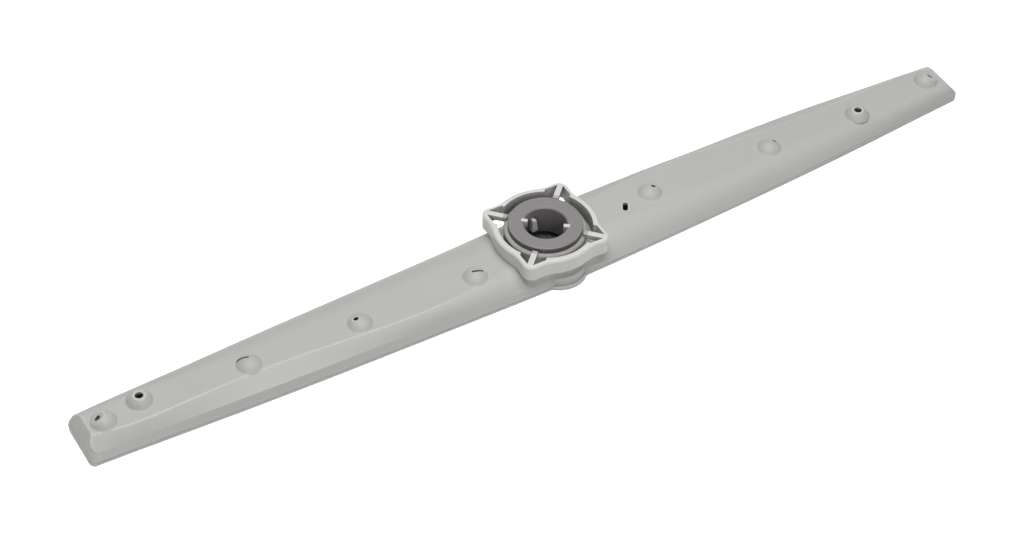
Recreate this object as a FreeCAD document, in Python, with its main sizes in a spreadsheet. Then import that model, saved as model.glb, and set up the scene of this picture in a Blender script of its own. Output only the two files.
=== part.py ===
import FreeCAD, Part

import math
import os

import Sketcher
from FreeCAD import Placement, Rotation, Vector

# Upper spray arm of a dishwasher, in millimetres. The hub axis is Z, X runs along the arm
# and the flat underside of the lower shell lies on Z = 0. The arm maps onto itself when it is
# turned by half a turn about Z, apart from its nozzles: each wing has a creased edge on one
# side and a rounded edge on the other.

# Driving sizes: name, value in millimetres (or degrees for an angle), what it measures.
SIZES = (
    ("arm_length", 500.0, "over both tips, at the underside"),
    ("arm_top_height", 10.5, "top face of the wings above the underside"),
    ("shell_wall", 2.0, "wall of the moulded shells"),
    ("seam_height", 1.6, "weld seam between the shells, and thickness of the lower plate"),
    ("root_half_width", 24.2, "half width at the hub, at the seam"),
    ("root_top_half_width", 6.6, "half width of the flat top at the hub"),
    ("creased_mid_width", 25.1, "creased side, half way along a wing"),
    ("creased_tip_width", 23.2, "creased side, at the tip"),
    ("skirt_root_height", 3.9, "top of the steep skirt on the creased side, at the hub"),
    ("skirt_mid_height", 6.3, "the same height half way along a wing"),
    ("skirt_tip_height", 5.6, "the same height at the tip"),
    ("skirt_draft", 2.5, "how far the skirt leans inward"),
    ("ridge_root_width", 14.2, "ridge between top face and slope, next to the hub"),
    ("ridge_mid_width", 15.8, "the same ridge half way along a wing"),
    ("ridge_tip_width", 11.9, "the same ridge at the tip"),
    ("rounded_mid_width", 16.1, "rounded side, half way along a wing"),
    ("rounded_tip_width", 3.9, "rounded side, at the tip"),
    ("shoulder_root_run", 17.6, "sideways run of the rounded shoulder next to the hub"),
    ("shoulder_mid_run", 14.1, "the same run half way along a wing"),
    ("shoulder_tip_run", 5.5, "the same run at the tip"),
    ("shoulder_root_foot", 1.8, "height of the shoulder's foot next to the hub"),
    ("shoulder_mid_foot", 2.8, "the same height half way along a wing"),
    ("shoulder_tip_foot", 6.5, "the same height at the tip"),
    ("shoulder_draft", 0.1, "how far the wall below the shoulder leans inward"),
    ("tip_slope", 4.9, "how far the end face leans back at the top face"),
    ("creased_corner_radius", 4.0, "corner of a wing tip in plan, creased side, at the foot"),
    ("creased_corner_top_radius", 5.5, "the same corner at the top of the skirt and above"),
    ("rounded_corner_radius", 1.8, "corner of a wing tip in plan, rounded side"),
    ("trim_margin", 15.0, "how far the trimming tool reaches past a wing tip"),
    ("boss_radius", 21.1, "low boss on the arm, on which the hub turns"),
    ("neck_radius", 20.4, "outside of the hub neck"),
    ("neck_top_height", 17.1, "top of the neck, where the bearing disc sits"),
    ("neck_edge", 0.9, "bevel of the neck's upper edge"),
    ("hub_gap", 0.3, "axial, between the hub and the arm"),
    ("journal_radius", 15.7, "tube of the hub that turns in the arm, outside"),
    ("running_clearance", 0.06, "radial, between the journal and the arm"),
    ("journal_bead", 0.7, "bead round the journal that holds the arm on the hub"),
    ("bead_clearance", 0.5, "radial, round the bead inside the arm"),
    ("hip_radius", 13.2, "round hip that swells out of each side under the hub"),
    ("hip_offset", 13.6, "hip centre from the hub axis"),
    ("hip_height", 6.4, "top of the hip above the underside"),
    ("hip_round", 1.3, "rounding of the hip's upper edge"),
    ("lip_width", 1.3, "ledge of the lower shell outside the hip"),
    ("trim_depth", 1.0, "spare depth that is trimmed off below the flat underside"),
    ("seam_bevel", 0.3, "bevel of the lower plate under the seam, which leaves a fine groove"),
    ("rim_height", 1.0, "locating rim of the lower shell above the seam"),
    ("root_overlap", 0.2, "how deep a rim is rooted in the plate"),
    ("rim_wall", 1.4, "wall of the locating rim"),
    ("rim_lean", 1.0, "how far the locating rim leans inward"),
    ("rim_clearance", 0.3, "between the locating rim and the skirt"),
    ("disc_radius", 18.4, "top disc of the bearing ring"),
    ("disc_height", 3.0, "thickness of the top disc"),
    ("disc_edge", 0.4, "bevel of the disc's upper edge"),
    ("sleeve_radius", 13.6, "sleeve of the bearing ring, outside"),
    ("sleeve_depth", 12.9, "sleeve below the disc"),
    ("sleeve_clearance", 0.05, "radial, between the sleeve and the journal"),
    ("snap_bead", 0.7, "bead round the sleeve that holds the ring under the journal"),
    ("snap_lead", 1.6, "height of the cone below that bead"),
    ("bore_radius", 10.6, "inlet bore of the bearing ring"),
    ("bore_lead_in", 0.8, "lead-in at the mouth of the bore"),
    ("lug_width", 2.0, "bayonet lugs in the bore"),
    ("lug_reach", 8.9, "inner end of the lugs from the hub axis"),
    ("lug_outer", 12.0, "outer end of the lugs' upper part"),
    ("lug_depth", 4.0, "height of the lugs below the disc's top"),
    ("lug_angle", 141.0, "direction of the first lug"),
    ("post_width", 2.0, "stop posts in the bore, at their top"),
    ("post_reach", 8.3, "inner face of a post at its top, from the hub axis"),
    ("post_top", 14.8, "top of the posts above the underside"),
    ("post_height", 6.6, "height of the posts"),
    ("post_taper", 6.0, "draft of the posts"),
    ("post_angle", 97.0, "direction of the first post"),
    ("slot_clearance", 0.1, "round the lugs and posts in the bearing ring"),
    ("collar_inner_radius", 23.35, "round inside of the collar"),
    ("collar_outer_radius", 26.2, "round outside of the collar between its lobes"),
    ("collar_height", 8.3, "height of the collar's wall"),
    ("collar_edge", 0.9, "bevel of the collar's outer upper edge"),
    ("lobe_reach", 31.7, "outermost point of a lobe from the hub axis"),
    ("lobe_nose_radius", 5.0, "rounding of a lobe's nose"),
    ("lobe_blend_radius", 20.0, "hollow blend between a lobe and the round wall"),
    ("lobe_wall", 2.2, "wall round the open pocket of a lobe"),
    ("pocket_half_width", 6.2, "half width of a pocket where it opens inward"),
    ("pocket_splay", 0.3, "how much wider a pocket is just outside the round wall"),
    ("pocket_shoulder", 0.8, "where a pocket is widest, outside the collar's inner radius"),
    ("pocket_mouth", 3.0, "how far a pocket's outline starts inside the collar's inner radius"),
    ("rib_width", 2.8, "rib across each lobe"),
    ("rib_height", 2.7, "rib below the collar's rim"),
    ("dome_radius", 6.3, "nozzle dome at the top face"),
    ("dome_height", 3.2, "nozzle dome above the top face"),
    ("dome_wall", 1.5, "wall of a nozzle dome"),
    ("nozzle_root", 0.6, "how far a nozzle is sunk into the top face"),
    ("jet_radius", 1.3, "round nozzle hole"),
    ("slot_half_length", 2.4, "slotted nozzle, centre to centre of its ends, halved"),
    ("slot_radius", 0.75, "slotted nozzle, half its width"),
    ("crown_height", 3.6, "crowned nozzle above the top face"),
    ("crown_top_radius", 2.9, "rim round the hole of a crowned nozzle"),
    ("crown_side_radius", 9.0, "bulge of a crowned nozzle's side"),
    ("crown_jet_radius", 2.0, "hole of a crowned nozzle"),
    ("window_half_width", 1.3, "plain oval hole, half its width"),
    ("window_half_length", 1.7, "plain oval hole, half its straight part"),
    ("spout_radius", 6.2, "dome of a tip nozzle at the top face"),
    ("spout_height", 3.9, "dome of a tip nozzle above the top face"),
    ("spout_face_radius", 3.8, "slanting flat face of a tip nozzle"),
    ("spout_face_margin", 0.3, "how far the tool that cuts this face reaches past it"),
    ("spout_tilt", 30.0, "tilt of that face from level, towards the tip"),
    ("spout_jet_radius", 1.6, "hole of a tip nozzle"),
    ("left_spout_place", 13.1, "left tip nozzle, from the tip"),
    ("left_spout_side", -8.9, "the same nozzle, beside the arm's middle line"),
    ("left_spout_heading", 145.0, "direction in which its face leans"),
    ("left_crown_place", 32.5, "left crowned nozzle, from the tip"),
    ("left_crown_side", -4.85, "the same nozzle, beside the middle line"),
    ("left_outer_place", 86.0, "outer slotted nozzle, from the tip"),
    ("left_outer_side", -8.5, "the same nozzle, beside the middle line"),
    ("left_outer_jet_along", -1.7, "its slot from the middle of its dome, along the arm"),
    ("left_outer_jet_across", 3.4, "the same slot, across the arm"),
    ("left_outer_jet_turn", -20.0, "direction of the slot"),
    ("left_middle_place", 106.6, "round nozzle of the left wing, from the hub"),
    ("left_middle_side", -9.5, "the same nozzle, beside the middle line"),
    ("left_middle_jet_along", -1.5, "its hole from the middle of its dome, along the arm"),
    ("left_middle_jet_across", 1.5, "the same hole, across the arm"),
    ("left_inner_place", 43.6, "inner slotted nozzle, from the hub"),
    ("left_inner_side", -8.2, "the same nozzle, beside the middle line"),
    ("left_inner_jet_along", 1.7, "its slot from the middle of its dome, along the arm"),
    ("left_inner_jet_across", 0.9, "the same slot, across the arm"),
    ("left_inner_jet_turn", -13.0, "direction of the slot"),
    ("window_turn", 60.0, "direction of its longer axis"),
    ("window_place", 46.2, "plain oval hole, from the hub"),
    ("window_side", -0.2, "the same hole, beside the middle line"),
    ("right_inner_place", 62.2, "inner round nozzle of the right wing, from the hub"),
    ("right_inner_side", 2.5, "the same nozzle, beside the middle line"),
    ("right_inner_jet_along", 2.7, "its hole from the middle of its dome, along the arm"),
    ("right_inner_jet_across", 1.1, "the same hole, across the arm"),
    ("right_outer_place", 116.1, "outer round nozzle of the right wing, from the tip"),
    ("right_outer_side", 2.15, "the same nozzle, beside the middle line"),
    ("right_outer_jet_along", 4.0, "its hole from the middle of its dome, along the arm"),
    ("right_outer_jet_across", 1.4, "the same hole, across the arm"),
    ("right_crown_place", 61.6, "right crowned nozzle, from the tip"),
    ("right_crown_side", 1.6, "the same nozzle, beside the middle line"),
    ("right_spout_place", 14.0, "right tip nozzle, from the tip"),
    ("right_spout_side", 6.6, "the same nozzle, beside the middle line"),
    ("right_spout_heading", 5.0, "direction in which its face leans"),
)

# Stations along a wing: share of the half length, and how soft the ridge still is there
# (1 = a smooth shoulder, near 0 = a plain crease).
STATIONS = ((0.22, 0.75), (0.46, 0.2), (0.74, 0.08), (1.0, 0.06))

# Form of the end face at some heights: share of the arm's top height, share of the whole slope,
# and share of the way from the foot to the top of the skirt. The face is upright at the foot and
# eases into the top face.
TIP_LEVELS = (
    (-0.1, 0.0, 0.0),
    (0.15, 0.0, 0.0),
    (0.53, 0.15, 1.0),
    (0.75, 0.56, 1.0),
    (0.92, 0.88, 1.0),
    (1.0, 1.1, 1.0),
    (1.15, 1.8, 1.0),
)

# Nozzles on the wings: name, kind, wing, and the end of the wing from which it is placed.
NOZZLES = (
    ("left_crown", "crown", "left", "tip"),
    ("left_outer", "slot", "left", "tip"),
    ("left_middle", "round", "left", "hub"),
    ("left_inner", "slot", "left", "hub"),
    ("right_inner", "round", "right", "hub"),
    ("right_outer", "round", "right", "tip"),
    ("right_crown", "crown", "right", "tip"),
)
SPOUTS = (("left_spout", "left"), ("right_spout", "right"))
DOME_FOOT_LATITUDE = 20.0

# An inner corner of the channel lies this share of the wall below the outer corner.
INNER_CORNER_DROP = 0.8
# Keeps the radius of a half round arc just over half of its chord.
ARC_EASE = 1.0001
POINT_TOLERANCE = 1e-6
EDGE_TOLERANCE = 0.01


def make_sheet(doc):
    """Put the driving sizes into a spreadsheet, one row each, with an alias."""
    sheet = doc.addObject("Spreadsheet::Sheet", "Sizes")
    for row, (name, value, note) in enumerate(SIZES, start=1):
        sheet.set(f"A{row}", name)
        sheet.set(f"B{row}", str(value))
        sheet.setAlias(f"B{row}", name)
        sheet.set(f"C{row}", note)
    doc.recompute()
    return sheet


def size(name):
    """Expression text for one size of the sheet."""
    return f"Sizes.{name}"


def amount(owner, text):
    """Number that an expression text gives now."""
    return float(owner.evalExpression(text))


def law(root, middle, tip, share):
    """Expression for a size that runs through three given values along a wing."""
    return (
        f"({size(root)} * (2 * {share} - 1) * ({share} - 1)"
        f" + 4 * {size(middle)} * {share} * (1 - {share})"
        f" + {size(tip)} * {share} * (2 * {share} - 1))"
    )


def new_body(doc, name):
    """Empty body whose label is the name of the finished piece."""
    body = doc.addObject("PartDesign::Body", name)
    body.Label = name
    return body


def origin_feature(body, role):
    """One of the body's own origin planes or axes."""
    for feature in body.Origin.OriginFeatures:
        if feature.Role == role:
            return feature
    raise ValueError(role)


def new_sketch(body, name, role, shift=("0", "0", "0"), turn=0.0):
    """Sketch on an origin plane of its body, shifted by three expressions and turned in plane."""
    sketch = body.newObject("Sketcher::SketchObject", name)
    sketch.AttachmentSupport = [(origin_feature(body, role), "")]
    sketch.MapMode = "FlatFace"
    sketch.AttachmentOffset = Placement(Vector(), Rotation(Vector(0, 0, 1), turn))
    for axis, text in zip("xyz", shift):
        if text != "0":
            sketch.setExpression(f"AttachmentOffset.Base.{axis}", text)
    return sketch


def bind(sketch, kind, references, text):
    """Add a dimension to a sketch and bind it to an expression."""
    number = sketch.addConstraint(Sketcher.Constraint(kind, *references, amount(sketch, text)))
    sketch.setExpression(f"Constraints[{number}]", text)


def arc_through(start, end, radius):
    """Arc from start to end; the sign of the radius tells on which side its middle lies."""
    chord = end - start
    half = chord.Length / 2
    middle = (start + end) / 2
    across = Vector(chord.y, -chord.x, 0).normalize()
    side = math.copysign(1.0, radius)
    rise = abs(radius) - math.sqrt(max(radius * radius - half * half, 0.0))
    return Part.Arc(start, middle + across * rise * side, end)


def outline(sketch, corners, arcs=None):
    """Closed outline through corners given as two expressions each.

    arcs maps the number of a corner to the radius expression and side of the arc that leaves it.
    """
    arcs = arcs or {}
    points = [Vector(amount(sketch, x), amount(sketch, y), 0) for x, y in corners]
    first = sketch.GeometryCount
    count = len(points)
    for index, start in enumerate(points):
        end = points[(index + 1) % count]
        if index in arcs:
            radius, side = arcs[index]
            sketch.addGeometry(arc_through(start, end, side * amount(sketch, radius)), False)
        else:
            sketch.addGeometry(Part.LineSegment(start, end), False)
    starts = [edge_start(sketch, first + index, points[index]) for index in range(count)]
    for index in range(count):
        following = (index + 1) % count
        sketch.addConstraint(
            Sketcher.Constraint(
                "Coincident",
                first + index,
                3 - starts[index],
                first + following,
                starts[following],
            )
        )
    for index, (x, y) in enumerate(corners):
        bind(sketch, "DistanceX", (-1, 1, first + index, starts[index]), x)
        bind(sketch, "DistanceY", (-1, 1, first + index, starts[index]), y)
        if index in arcs:
            bind(sketch, "Radius", (first + index,), arcs[index][0])


def edge_start(sketch, edge, point):
    """Which end of an edge, 1 or 2, lies on the given point."""
    return 1 if (sketch.getPoint(edge, 1) - point).Length < POINT_TOLERANCE else 2


def circle(sketch, x, y, radius):
    """Circle whose middle and radius are expressions."""
    middle = Vector(amount(sketch, x), amount(sketch, y), 0)
    shape = Part.Circle(middle, Vector(0, 0, 1), amount(sketch, radius))
    number = sketch.addGeometry(shape, False)
    bind(sketch, "DistanceX", (-1, 1, number, 3), x)
    bind(sketch, "DistanceY", (-1, 1, number, 3), y)
    bind(sketch, "Radius", (number,), radius)


def pad(body, sketch, name, height):
    """Raise a sketch by a height expression."""
    feature = body.newObject("PartDesign::Pad", name)
    feature.Profile = sketch
    feature.setExpression("Length", height)
    return feature


def pocket(body, sketch, name, height):
    """Cut upward from a sketch by a height expression."""
    feature = body.newObject("PartDesign::Pocket", name)
    feature.Profile = sketch
    feature.Reversed = True
    feature.setExpression("Length", height)
    return feature


def turned(body, sketch, name, kind="PartDesign::Revolution"):
    """Turn a sketch about its own upright axis, adding or cutting."""
    feature = body.newObject(kind, name)
    feature.Profile = sketch
    feature.ReferenceAxis = (sketch, ["V_Axis"])
    feature.Angle = 360.0
    return feature


def loft(body, sketches, name, kind="PartDesign::AdditiveLoft"):
    """Loft through sketches in order, adding or cutting."""
    feature = body.newObject(kind, name)
    feature.Profile = sketches[0]
    feature.Sections = sketches[1:]
    return feature


def around_hub(body, features, name, count):
    """Repeat features evenly round the hub axis."""
    pattern = body.newObject("PartDesign::PolarPattern", name)
    pattern.Originals = features
    pattern.Axis = (origin_feature(body, "Z_Axis"), [""])
    pattern.Angle = 360.0
    pattern.Occurrences = count
    body.Tip = pattern
    return pattern


def wing_side(kind, share, softness, inset):
    """Corner expressions of one side of a wing section, from its foot to the top face.

    Gives half width at the seam, the upper end of the side (half width and height), the edge
    of the top face (half width) and the radius of the arc between these two.
    """
    top = f"({size('arm_top_height')} - {inset})"
    if kind == "hub":
        foot = f"({size('root_half_width')} - {inset})"
        high = f"({size('root_half_width')} - {size('skirt_draft')} / 2 - {inset})"
        level = size("skirt_root_height")
        ridge = size("root_top_half_width")
    elif kind == "creased":
        width = law("root_half_width", "creased_mid_width", "creased_tip_width", share)
        foot = f"({width} - {inset})"
        high = f"({width} - {size('skirt_draft')} - {inset})"
        skirt = law("skirt_root_height", "skirt_mid_height", "skirt_tip_height", share)
        level = f"({skirt} - {INNER_CORNER_DROP} * {inset})"
        crest = law("ridge_root_width", "ridge_mid_width", "ridge_tip_width", share)
        ridge = f"({crest} - {inset} / 2)"
    else:
        width = law("root_half_width", "rounded_mid_width", "rounded_tip_width", share)
        run = law("shoulder_root_run", "shoulder_mid_run", "shoulder_tip_run", share)
        foot = f"({width} - {inset})"
        high = f"({width} - {size('shoulder_draft')} - {inset})"
        level = law("shoulder_root_foot", "shoulder_mid_foot", "shoulder_tip_foot", share)
        ridge = f"({width} - {run})"
    drop = f"({top} - {level})"
    run_now = f"({high} - {ridge})"
    radius = f"(({run_now} * {run_now} + {drop} * {drop}) / (2 * {drop} * {softness}))"
    return foot, high, level, ridge, top, radius


def wing_section(body, name, place, near, far, floor, inset):
    """One cross-section of the arm on a plane across X at the given place.

    The outside, with no inset, has round shoulders. The channel inside has flat ones.
    """
    sketch = new_sketch(body, name, "YZ_Plane", ("0", "0", place))
    near_foot, near_high, near_level, near_ridge, top, near_radius = wing_side(*near, inset)
    far_foot, far_high, far_level, far_ridge, _, far_radius = wing_side(*far, inset)
    corners = (
        (f"-{near_foot}", floor),
        (far_foot, floor),
        (far_high, far_level),
        (far_ridge, top),
        (f"-{near_ridge}", top),
        (f"-{near_high}", near_level),
    )
    rounded = {2: (far_radius, 1), 4: (near_radius, 1)} if inset == "0" else {}
    outline(sketch, corners, rounded)
    return sketch


def stations(half_length):
    """Place of each cross-section from the left tip to the right, with its near and far side."""
    hub = ("hub", "0", 1.0)
    left = []
    right = []
    for share, softness in STATIONS:
        place = f"{share} * {half_length}"
        part = f"({place} / ({size('arm_length')} / 2))"
        creased = ("creased", part, softness)
        rounded = ("rounded", part, 1.0)
        left.insert(0, (f"-{place}", creased, rounded))
        right.append((place, rounded, creased))
    return left + [("0", hub, hub)] + right


def wing_sections(body, name, half_length, floor, inset):
    """Cross-sections from the left tip to the right tip."""
    return [
        wing_section(body, f"{name}_{number}", place, near, far, floor, inset)
        for number, (place, near, far) in enumerate(stations(half_length))
    ]


def tip_outline(body, name, level, lean, rise):
    """Outline of what is cut off round the left tip, at one height."""
    sketch = new_sketch(body, name, "XY_Plane", ("0", "0", level))
    beyond = size("trim_margin")
    end = f"({size('arm_length')} / 2 - {lean} * {size('tip_slope')})"
    foot_corner = size("creased_corner_radius")
    near_corner = f"({foot_corner} + {rise} * ({size('creased_corner_top_radius')} - {foot_corner}))"
    far_corner = size("rounded_corner_radius")
    near_inner = f"({end} - {near_corner})"
    far_inner = f"({end} - {far_corner})"
    share = f"(1 - {foot_corner} / {size('arm_length')})"
    skirt = law("root_half_width", "creased_mid_width", "creased_tip_width", share)
    near = f"({skirt} - {rise} * {size('skirt_draft')})"
    far = law("root_half_width", "rounded_mid_width", "rounded_tip_width", share)
    corners = (
        (f"-{end} - {beyond}", f"-{near} - {beyond}"),
        (f"-{near_inner}", f"-{near} - {beyond}"),
        (f"-{near_inner}", f"-{near}"),
        (f"-{end}", f"-({near} - {near_corner})"),
        (f"-{end}", f"{far} - {far_corner}"),
        (f"-{far_inner}", far),
        (f"-{far_inner}", f"{far} + {beyond}"),
        (f"-{end} - {beyond}", f"{far} + {beyond}"),
    )
    outline(
        sketch,
        corners,
        {2: (f"{ARC_EASE} * {near_corner}", -1), 4: (f"{ARC_EASE} * {far_corner}", -1)},
    )
    return sketch


def trim_tips(body, name):
    """Round the corners of both tips and lean their end faces back."""
    levels = [
        tip_outline(body, f"{name}_{number}", f"{height} * {size('arm_top_height')}", lean, rise)
        for number, (height, lean, rise) in enumerate(TIP_LEVELS)
    ]
    cut = loft(body, levels, f"{name}_cut", "PartDesign::SubtractiveLoft")
    around_hub(body, [cut], f"{name}_pair", 2)


def hip_profile(body, name, inset, floor):
    """Half section of the round hip on one side of the hub."""
    sketch = new_sketch(body, name, "XZ_Plane", ("0", "0", size("hip_offset")))
    radius = f"({size('hip_radius')} - {inset})"
    top = f"({size('hip_height')} - {inset})"
    rounding = f"({size('hip_round')} - {inset} / 2)"
    corners = (
        ("0", floor),
        (radius, floor),
        (radius, f"{top} - {rounding}"),
        (f"{radius} - {rounding}", top),
        ("0", top),
    )
    outline(sketch, corners, {2: (rounding, 1)} if inset == "0" else {})
    return sketch


def neck_profile(body):
    """Half section of the hub's neck, with the journal tube that turns in the arm."""
    sketch = new_sketch(body, "neck_profile", "XZ_Plane")
    inner = f"({size('sleeve_radius')} + {size('sleeve_clearance')})"
    journal = size("journal_radius")
    bead = size("journal_bead")
    bead_top = f"({size('arm_top_height')} - {size('shell_wall')} - {size('hub_gap')})"
    foot = f"({bead_top} - 2 * {bead})"
    outer = size("neck_radius")
    low = f"({size('arm_top_height')} + {size('hub_gap')})"
    top = size("neck_top_height")
    corners = (
        (inner, foot),
        (journal, foot),
        (f"{journal} + {bead}", f"{bead_top} - {bead}"),
        (f"{journal} + {bead}", bead_top),
        (journal, bead_top),
        (journal, f"{top} - {size('shell_wall')}"),
        (f"{outer} - {size('shell_wall')}", f"{top} - {size('shell_wall')}"),
        (f"{outer} - {size('shell_wall')}", low),
        (outer, low),
        (outer, f"{top} - {size('neck_edge')}"),
        (f"{outer} - {size('neck_edge')}", top),
        (inner, top),
    )
    outline(sketch, corners)
    return sketch


def along_arm(name, wing, end):
    """Expression for a nozzle's place along the arm, measured from the hub or from its tip."""
    sign = "-" if wing == "left" else ""
    if end == "hub":
        return f"{sign}{size(name + '_place')}"
    return f"{sign}({size('arm_length')} / 2 - {size(name + '_place')})"


def nozzle_sketch(body, name, x, y):
    """Upright sketch whose own upright axis runs through a nozzle."""
    return new_sketch(body, name, "XZ_Plane", (x, "0", f"-({y})"))


def ball_radius(foot_radius, rise):
    """Radius of the ball of which a dome is a part."""
    return f"(({foot_radius} * {foot_radius} + {rise} * {rise}) / (2 * {rise}))"


def add_dome(body, name, x, y, foot, rise):
    """Part of a ball that stands out of the top face."""
    ball = ball_radius(foot, rise)
    feature = body.newObject("PartDesign::AdditiveSphere", f"{name}_dome")
    feature.setExpression("Placement.Base.x", x)
    feature.setExpression("Placement.Base.y", y)
    feature.setExpression("Placement.Base.z", f"{size('arm_top_height')} + {rise} - {ball}")
    feature.setExpression("Radius", ball)
    feature.Angle1 = DOME_FOOT_LATITUDE


def hollow_dome(body, name, x, y):
    """Room under a dome, open to the water channel."""
    top = size("arm_top_height")
    wide = f"({size('dome_radius')} - {size('dome_wall')})"
    high = f"({top} + {size('dome_height')} - {size('dome_wall')})"
    low = f"({top} - 2 * {size('shell_wall')})"
    sketch = nozzle_sketch(body, f"{name}_room", x, y)
    outline(sketch, (("0", low), (wide, low), (wide, top), (f"{wide} / 2", high), ("0", high)))
    turned(body, sketch, f"{name}_hollow", "PartDesign::Groove")


def crown_profile(body, name, x, y, low, inset):
    """Half section of a steep nozzle: a bulging side and a narrow flat rim."""
    top = size("arm_top_height")
    rise = f"({size('crown_height')} - {inset})"
    foot = f"({size('dome_radius')} - {inset})"
    rim = f"({size('crown_top_radius')} - {inset} / 2)"
    sketch = nozzle_sketch(body, name, x, y)
    corners = (
        ("0", f"{top} - {low}"),
        (foot, f"{top} - {low}"),
        (foot, top),
        (rim, f"{top} + {rise}"),
        ("0", f"{top} + {rise}"),
    )
    outline(sketch, corners, {2: (size("crown_side_radius"), 1)} if inset == "0" else {})
    return sketch


def add_crown(body, name, x, y):
    """Solid steep nozzle on the top face."""
    sketch = crown_profile(body, f"{name}_crown", x, y, size("nozzle_root"), "0")
    turned(body, sketch, f"{name}_cone")


def hollow_crown(body, name, x, y):
    """Room under a crowned nozzle, open to the water channel."""
    low = f"({size('shell_wall')} + {size('nozzle_root')})"
    sketch = crown_profile(body, f"{name}_room", x, y, low, size("dome_wall"))
    turned(body, sketch, f"{name}_hollow", "PartDesign::Groove")


def long_hole(body, name, x, y, turn, half_length, radius):
    """Hole with round ends, cut up through the top face."""
    sketch = new_sketch(body, f"{name}_hole", "XY_Plane", (x, y, size("seam_height")), turn)
    corners = (
        (f"-{half_length}", f"-{radius}"),
        (half_length, f"-{radius}"),
        (half_length, radius),
        (f"-{half_length}", radius),
    )
    half_round = f"{ARC_EASE} * {radius}"
    outline(sketch, corners, {1: (half_round, 1), 3: (half_round, 1)})
    pocket(body, sketch, f"{name}_cut", size("neck_top_height"))


def round_hole(body, name, x, y, radius):
    """Round hole, cut up through the top face."""
    sketch = new_sketch(body, f"{name}_hole", "XY_Plane", (x, y, size("seam_height")))
    circle(sketch, "0", "0", radius)
    pocket(body, sketch, f"{name}_cut", size("neck_top_height"))


def add_nozzle(body, name, kind, wing, end):
    """Solid form of one nozzle."""
    x = along_arm(name, wing, end)
    y = size(f"{name}_side")
    if kind == "crown":
        add_crown(body, name, x, y)
    else:
        add_dome(body, name, x, y, size("dome_radius"), size("dome_height"))


def open_nozzle(body, name, kind, wing, end):
    """Room under one nozzle, and its jet."""
    x = along_arm(name, wing, end)
    y = size(f"{name}_side")
    if kind == "crown":
        hollow_crown(body, name, x, y)
        round_hole(body, name, x, y, size("crown_jet_radius"))
        return
    hollow_dome(body, name, x, y)
    jet_x = f"{x} + {size(name + '_jet_along')}"
    jet_y = f"{y} + {size(name + '_jet_across')}"
    if kind == "slot":
        turn = amount(body, size(f"{name}_jet_turn"))
        long_hole(body, name, jet_x, jet_y, turn, size("slot_half_length"), size("slot_radius"))
    else:
        round_hole(body, name, jet_x, jet_y, size("jet_radius"))


def spout_tool(body, name, wing, radius, start, length):
    """Leaning cylinder that cuts a tip nozzle, from a distance to the middle of its ball."""
    tool = body.newObject("PartDesign::SubtractiveCylinder", name)
    tool.setExpression("Radius", radius)
    tool.setExpression("Height", length)
    heading = amount(body, size(f"{wing}_spout_heading"))
    tilt = size("spout_tilt")
    lean = Rotation(Vector(0, 0, 1), heading) * Rotation(Vector(0, 1, 0), amount(body, tilt))
    tool.Placement = Placement(Vector(), lean)
    turn = size(f"{wing}_spout_heading")
    ball = ball_radius(size("spout_radius"), size("spout_height"))
    middle = f"{size('arm_top_height')} + {size('spout_height')} - {ball}"
    x = along_arm(f"{wing}_spout", wing, "tip")
    y = size(f"{wing}_spout_side")
    tool.setExpression("Placement.Base.x", f"{x} + {start} * sin({tilt}) * cos({turn})")
    tool.setExpression("Placement.Base.y", f"{y} + {start} * sin({tilt}) * sin({turn})")
    tool.setExpression("Placement.Base.z", f"{middle} + {start} * cos({tilt})")


def open_spout(body, name, wing):
    """Slanting face of a tip nozzle, and its jet from the channel out through that face."""
    ball = ball_radius(size("spout_radius"), size("spout_height"))
    face = size("spout_face_radius")
    level = f"sqrt({ball} * {ball} - {face} * {face})"
    reach = f"({face} + {size('spout_face_margin')})"
    spout_tool(body, f"{name}_face", wing, reach, level, ball)
    spout_tool(body, f"{name}_jet", wing, size("spout_jet_radius"), "0", ball)


def channel_length():
    """Half length of the water channel inside the arm."""
    return f"({size('arm_length')} / 2 - {size('tip_slope')} - {size('shell_wall')})"


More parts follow.
